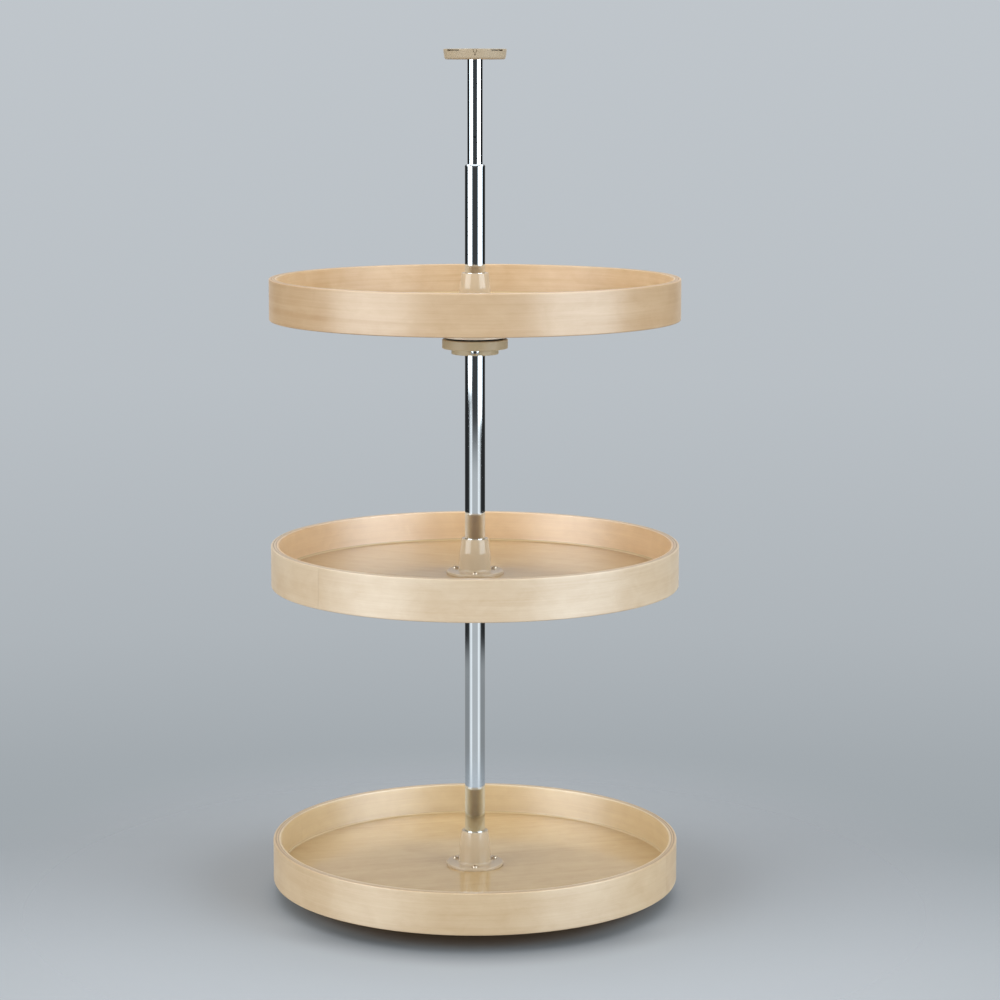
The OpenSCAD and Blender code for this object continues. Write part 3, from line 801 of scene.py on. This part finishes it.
class PANTRY_OT_floors(bpy.types.Operator):
    """Lays the round plywood floor in each tray, with its bead of glue along the rim"""
    bl_idname = "pantry.floors"
    bl_label = "Tray floors"
    grain_turns = (14.0, -24.0, 8.0)

    def execute(self, context):
        s = context.scene.pantry_trays
        outer = s.radius - 3 * s.ply
        soft = 0.3 * MM
        for number, (tray, turn) in enumerate(zip(TRAYS, self.grain_turns)):
            low = floor_level(tray) + s.lift
            top = low + s.floor
            profile = outline([[s.floor_hole, low]],
                              arc(outer - soft, low + soft, soft, 270, 360, 3),
                              [[outer, top + s.bead]],
                              arc(outer - s.bead, top + s.bead, s.bead, 0, -90, 8),
                              [[s.floor_hole, top]])
            piece, a, r, z = lathe(tray + "_floor", profile, finish_of(tray + " floor birch"), 320)
            a = a - radians(turn)
            set_grain(piece, r * np.cos(a) + 2.3 * number, r * np.sin(a) + 0.7 * number, z)
            # The bead's pale colour is partly a painted highlight along the joint.
            set_edge(piece, -1.0 * (r > outer - 0.9 * s.bead) * (z > low + soft))
            seat(piece, tray + "_shelf", "board_wood", tray + "_board")
        return {"FINISHED"}


class PANTRY_OT_hubs(bpy.types.Operator):
    """Moulds the hub that stands on each tray's floor round the pole"""
    bl_idname = "pantry.hubs"
    bl_label = "Hubs"
    fillet = 3 * MM

    def execute(self, context):
        """The outline goes up over the flange, its fillet, the column and the cone, then
        down the narrow land that guides the hub on the pole and the wider bore under it."""
        s, trays = context.scene.pantry_pole, context.scene.pantry_trays
        bore = s.tube_radius + 0.9 * MM
        land = s.tube_radius + 0.08 * MM
        fillet, brow, blunt, mouth = self.fillet, 1.6 * MM, 0.2 * MM, 0.4 * MM
        guided = 8 * MM
        for tray in TRAYS:
            z = floor_level(tray) + trays.lift + trays.floor
            top = z + s.hub_height
            profile = outline(
                [[bore, z], [s.flange_radius - blunt, z], [s.flange_radius, z + blunt]],
                arc(s.flange_radius - brow, z + s.flange - brow, brow, 0, 90, 10),
                arc(s.hub_foot + fillet, z + s.flange + fillet, fillet, 270, 180, 12),
                self.shoulder(s, z),
                arc(s.hub_top - s.crown, top - s.crown, s.crown, 0, 90, 10),
                [[land + mouth, top], [land, top - mouth], [land, top - guided]],
                [[bore, top - guided - 1 * MM]])
            piece = lathe(tray + "_hub_moulding", profile, finish_of("hub plastic"), 192)[0]
            seat(piece, tray + "_shelf", "hub_plastic", tray + "_hub")
        return {"FINISHED"}

    def shoulder(self, s, z):
        """A soft bend from the column to the cone: an arc whose tangents are the two sides,
        written as a quadratic curve through the shoulder's corner."""
        corner = np.array([s.hub_shoulder, z + s.shoulder_height])
        foot = np.array([s.hub_foot, z + s.flange + self.fillet])
        tip = np.array([s.hub_top, z + s.hub_height - s.crown])
        first = corner + (foot - corner) * 0.06
        last = corner + (tip - corner) * 0.08
        t = np.linspace(0, 1, 7)[:, None]
        return (1 - t) ** 2 * first + 2 * t * (1 - t) * corner + t ** 2 * last


class PANTRY_OT_pole(bpy.types.Operator):
    """Draws the two tubes of the pole and turns the bright lip between them"""
    bl_idname = "pantry.pole"
    bl_label = "Pole"

    def execute(self, context):
        s = context.scene.pantry_pole
        chrome = finish_of("chrome plate")
        low, top = (float(corner[2]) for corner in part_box("lower_tube"))
        bore = s.tube_radius - s.wall
        blunt = 0.25 * MM
        profile = outline(
            [[bore, low], [s.tube_radius - blunt, low], [s.tube_radius, low + blunt]],
            [[s.tube_radius, top], [bore, top]])
        tube = lathe("lower_tube_drawn", profile, chrome, 192)[0]
        seat(tube, "post", "chrome", "lower_tube")
        # The lip lines the tube's end, and its bevel of three flats stands out over it.
        slide = s.slim_radius + 0.05 * MM
        foot = float(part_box("tube_bush")[0][2])
        over = s.tube_radius + s.lip_over
        bevel = np.array([[over, top + 0.4 * MM], [over - 0.62 * MM, top + 1.65 * MM],
                          [over - 1.4 * MM, top + s.lip - 0.3 * MM],
                          [over - 1.9 * MM, top + s.lip]])
        profile = outline(
            [[slide, foot + 1 * MM], [slide + 1 * MM, foot], [bore, foot], [bore, top]],
            [[over, top]], bevel,
            [[slide + 0.4 * MM, top + s.lip], [slide, top + s.lip - 0.4 * MM]])
        lip = lathe("tube_lip_turned", profile, chrome, 192)[0]
        seat(lip, "post", "chrome", "tube_bush")
        low, high = (float(corner[2]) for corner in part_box("upper_tube"))
        tube = drilled_tube("upper_tube_drawn", s.slim_radius, s.slim_radius - s.wall, low, high,
                            s.index_hole, s.index_height, chrome)
        seat(tube, "mast", "chrome", "upper_tube")
        repaint("tube_foot", finish_of("black plastic"))
        return {"FINISHED"}


class PANTRY_OT_plates(bpy.types.Operator):
    """Finishes the end plates and sets a raised arrow in each V mark of the ceiling plate"""
    bl_idname = "pantry.plates"
    bl_label = "End plates"

    def execute(self, context):
        repaint("ceiling_plate", finish_of("plate plastic"))
        repaint("floor_plate", finish_of("disc plastic"))
        low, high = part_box("ceiling_plate")
        self.arrows(float(high[0]), float(high[2]))
        return {"FINISHED"}

    def arrows(self, radius, top):
        """Four wedges. Each is a triangle that points down, a little smaller than the mark,
        so that a groove stays open round it. Its face lies just behind the plate's sloping
        wall and its back on the mark's bottom."""
        half = np.array([2.1, -2.1, 0.0]) * MM
        upper, lower, slope = 0.7 * MM, 7.7 * MM, 0.13
        fall = np.array([upper, upper, lower])
        face = radius - 0.15 * MM - (fall - upper) * slope
        back = np.full(3, radius - 2.05 * MM)
        depth, side = np.concatenate([face, back]), np.tile(half, 2)
        up = np.tile(top - fall, 2)
        turn = np.radians([0, 90, 180, 270])[:, None]
        points = np.stack([depth * np.cos(turn) - side * np.sin(turn),
                           depth * np.sin(turn) + side * np.cos(turn),
                           np.broadcast_to(up, (4, 6))], axis=-1).reshape(-1, 3)
        first = 6 * np.arange(4)[:, None, None]
        ends = (first + [[0, 1, 2], [3, 5, 4]]).reshape(-1, 3)
        sides = (first + [[1, 0, 3, 4], [2, 1, 4, 5], [0, 2, 5, 3]]).reshape(-1, 4)
        piece = new_piece("ceiling_plate_arrows", points, [ends, sides],
                          finish_of("plate plastic"))
        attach(piece, "ceiling_swivel")


class PANTRY_OT_bearings(bpy.types.Operator):
    """Finishes the bearings and their supports, and turns the clamp screws"""
    bl_idname = "pantry.bearings"
    bl_label = "Bearings and supports"

    def execute(self, context):
        for tray in TRAYS:
            # The upper races' pale cream is partly a painted highlight.
            repaint(tray + "_upper_race", finish_of("race plastic"))
            repaint(tray + "_ball_cage", finish_of("black plastic"))
            repaint(tray + "_balls", finish_of("zinc plate"))
            repaint(tray + "_hub_screws", finish_of("brass plate"))
        for tray in TRAYS[1:]:
            repaint(tray + "_support_collar", finish_of("disc plastic"))
            self.clamp(tray, context.scene.pantry_pole)
        return {"FINISHED"}

    def clamp(self, tray, s):
        """A button-headed screw lying along -Y: a plain shank, a dome that is an arc about a
        point beside the axis, and a socket with six flats and a wider mouth. The distance
        of a flat from the axis is half the socket's width over the cosine of the angle from
        the flat's middle."""
        low, high = (np.array(corner, dtype=float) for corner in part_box(tray + "_clamp_screw"))
        tip, end = -high[1], -low[1]
        base = tip + 16.2 * MM
        steps, shank, chamfer, beside = 96, 3 * MM, 0.8 * MM, 1.2 * MM
        a = 2 * pi * np.arange(steps)[:, None] / steps
        stem = [[shank - chamfer, tip], [shank, tip + chamfer], [shank, base], [s.button, base]]
        bend = s.button - beside
        dome = arc(beside, end - bend, bend, 0, 90, 16)
        dome = dome[dome[:, 0] > s.socket * 0.5 + 0.5 * MM]
        round_part = np.concatenate([stem, dome])
        flats = s.socket / 2 / np.cos((a + pi) % (pi / 3) - pi / 6)
        flats = flats + np.array([0.35, 0.0, 0.0]) * MM
        levels = end - np.array([0.15, 0.45, 2.2]) * MM
        r = np.concatenate([np.tile(round_part[:, 0], (steps, 1)), flats], axis=1)
        along = np.concatenate([round_part[:, 1], levels])
        centre = (0.0, 0.0, (low[2] + high[2]) / 2)
        piece = spindle(tray + "_clamp_screw_turned", r, along, (tip, along[-1]),
                        [[1, 0, 0], [0, 0, 1], [0, -1, 0]], centre, finish_of("chrome plate"))
        seat(piece, tray + "_support", "chrome", tray + "_clamp_screw")


OPERATORS = (PANTRY_OT_stage, PANTRY_OT_rims, PANTRY_OT_floors, PANTRY_OT_hubs,
             PANTRY_OT_pole, PANTRY_OT_plates, PANTRY_OT_bearings)
GROUPS = {"pantry_trays": PANTRY_PG_trays, "pantry_pole": PANTRY_PG_pole,
          "pantry_finish": PANTRY_PG_finish, "pantry_studio": PANTRY_PG_studio}


class PANTRY_PT_shelves(bpy.types.Panel):
    """Lists the steps and the sizes in the sidebar"""
    bl_idname = "PANTRY_PT_shelves"
    bl_label = "Revolving shelves"
    bl_space_type = "VIEW_3D"
    bl_region_type = "UI"
    bl_category = "Shelves"

    def draw(self, context):
        column = self.layout.column(align=True)
        for operator in OPERATORS:
            column.operator(operator.bl_idname)
        for name, group in GROUPS.items():
            box = self.layout.box()
            box.label(text=group.__doc__.rstrip("."))
            for key in group.__annotations__:
                box.prop(getattr(context.scene, name), key)


def register():
    """Adds the property groups, the operators and the panel to Blender."""
    for group in GROUPS.values():
        bpy.utils.register_class(group)
    for name, group in GROUPS.items():
        setattr(bpy.types.Scene, name, bpy.props.PointerProperty(type=group))
    for kind in (*OPERATORS, PANTRY_PT_shelves):
        bpy.utils.register_class(kind)


def unregister():
    """Takes them out again."""
    for kind in (PANTRY_PT_shelves, *reversed(OPERATORS)):
        bpy.utils.unregister_class(kind)
    for name, group in reversed(list(GROUPS.items())):
        delattr(bpy.types.Scene, name)
        bpy.utils.unregister_class(group)


def main():
    """Makes every piece in order."""
    register()
    bpy.ops.pantry.stage()
    bpy.ops.pantry.rims()
    bpy.ops.pantry.floors()
    bpy.ops.pantry.hubs()
    bpy.ops.pantry.pole()
    bpy.ops.pantry.plates()
    bpy.ops.pantry.bearings()


if __name__ == "__main__":
    main()
